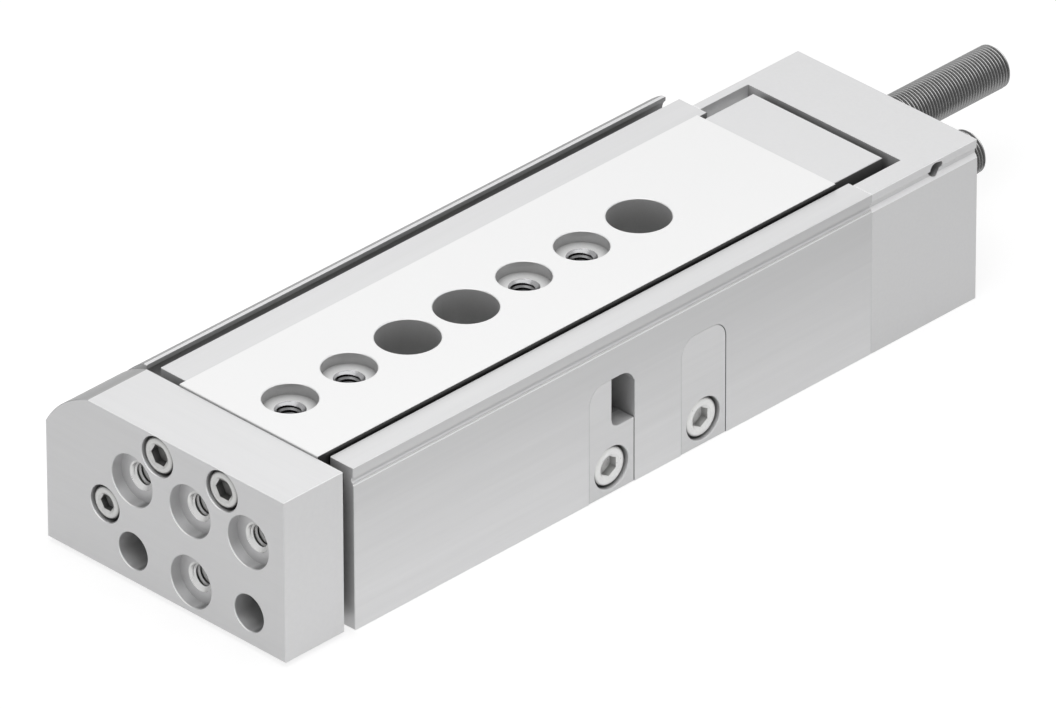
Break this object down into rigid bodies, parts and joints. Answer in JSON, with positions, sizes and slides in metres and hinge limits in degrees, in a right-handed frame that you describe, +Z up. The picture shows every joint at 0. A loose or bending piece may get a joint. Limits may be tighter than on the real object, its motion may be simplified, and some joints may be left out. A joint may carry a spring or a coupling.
{
  "type": "pneumatic mini slide",
  "caption": "Compact air-driven linear slide: U-shaped aluminium housing with a caged-ball guided steel table, yoke plate in front and threaded end stops behind.",
  "frame": {"origin": "middle of the housing's flat base face, halfway between its front face and the rear block's rear face", "axes": "+X across the slide, +Y to the rear along the travel (the slide extends along -Y), +Z up out of the base face"},
  "size_m": [0.0411, 0.147, 0.0236],
  "materials": {
    "housing_aluminium": "satin anodised, fine lengthwise grain",
    "rear_block_aluminium": "satin anodised",
    "end_block_aluminium": "satin anodised",
    "yoke_aluminium": "satin anodised",
    "cover_aluminium": "satin anodised",
    "piston_aluminium": "turned",
    "table_steel": "ground bright",
    "track_steel": "hardened and ground",
    "screw_steel": "dark, oiled",
    "bright_screw_steel": "bright",
    "pin_steel": "ground",
    "stop_steel": "rolled thread, dark zinc",
    "rod_steel": "polished",
    "ball_steel": "polished",
    "bush_bronze": "sintered",
    "cage_plastic": "moulded",
    "seal_rubber": "matt",
    "buffer_elastomer": "matt",
    "magnet_black": "plastic-bonded magnet"
  },
  "bodies": {
    "housing": {"housing": "housing_aluminium", "rear_block": "rear_block_aluminium", "rear_block_screws": "screw_steel", "rear_block_dowels": "pin_steel", "bore_seal_ring": "seal_rubber", "duct_seal_ring": "seal_rubber", "duct_plug": "pin_steel", "left_track": "track_steel", "right_track": "track_steel", "cover_plate_front": "cover_aluminium", "cover_plate_rear": "cover_aluminium", "cover_plate_screws": "bright_screw_steel", "rod_bush": "bush_bronze", "rod_seal": "seal_rubber", "rod_retainer": "pin_steel"},
    "slide": {"slide_table": "table_steel", "end_block": "end_block_aluminium", "end_block_screws": "screw_steel", "yoke_plate": "yoke_aluminium", "yoke_screws": "bright_screw_steel", "rod_screw": "bright_screw_steel", "piston_rod": "rod_steel", "piston": "piston_aluminium", "piston_seals": "seal_rubber", "piston_magnet": "magnet_black"},
    "ball_cages": {"ball_cage_left": "cage_plastic", "ball_cage_right": "cage_plastic", "balls_left": "ball_steel", "balls_right": "ball_steel"},
    "retract_stop": {"retract_stop_rod": "stop_steel", "retract_buffer": "buffer_elastomer"},
    "advance_stop": {"advance_stop_sleeve": "stop_steel", "advance_pull_rod": "pin_steel", "advance_buffer": "buffer_elastomer"}
  },
  "joints": [
    {"name": "slide_travel", "type": "slide", "parent": "housing", "child": "slide", "axis": [0, -1, 0], "range_m": [0, 0.05]},
    {"name": "cage_travel", "type": "slide", "parent": "housing", "child": "ball_cages", "axis": [0, -1, 0], "range_m": [0, 0.025]},
    {"name": "retract_stop_adjust", "type": "slide", "parent": "housing", "child": "retract_stop", "axis": [0, 1, 0], "range_m": [0, 0.005]},
    {"name": "advance_stop_adjust", "type": "slide", "parent": "housing", "child": "advance_stop", "axis": [0, -1, 0], "range_m": [0, 0.005]}
  ],
  "couplings": [
    {"joint": "cage_travel", "follows": "slide_travel", "ratio": 0.5}
  ]
}
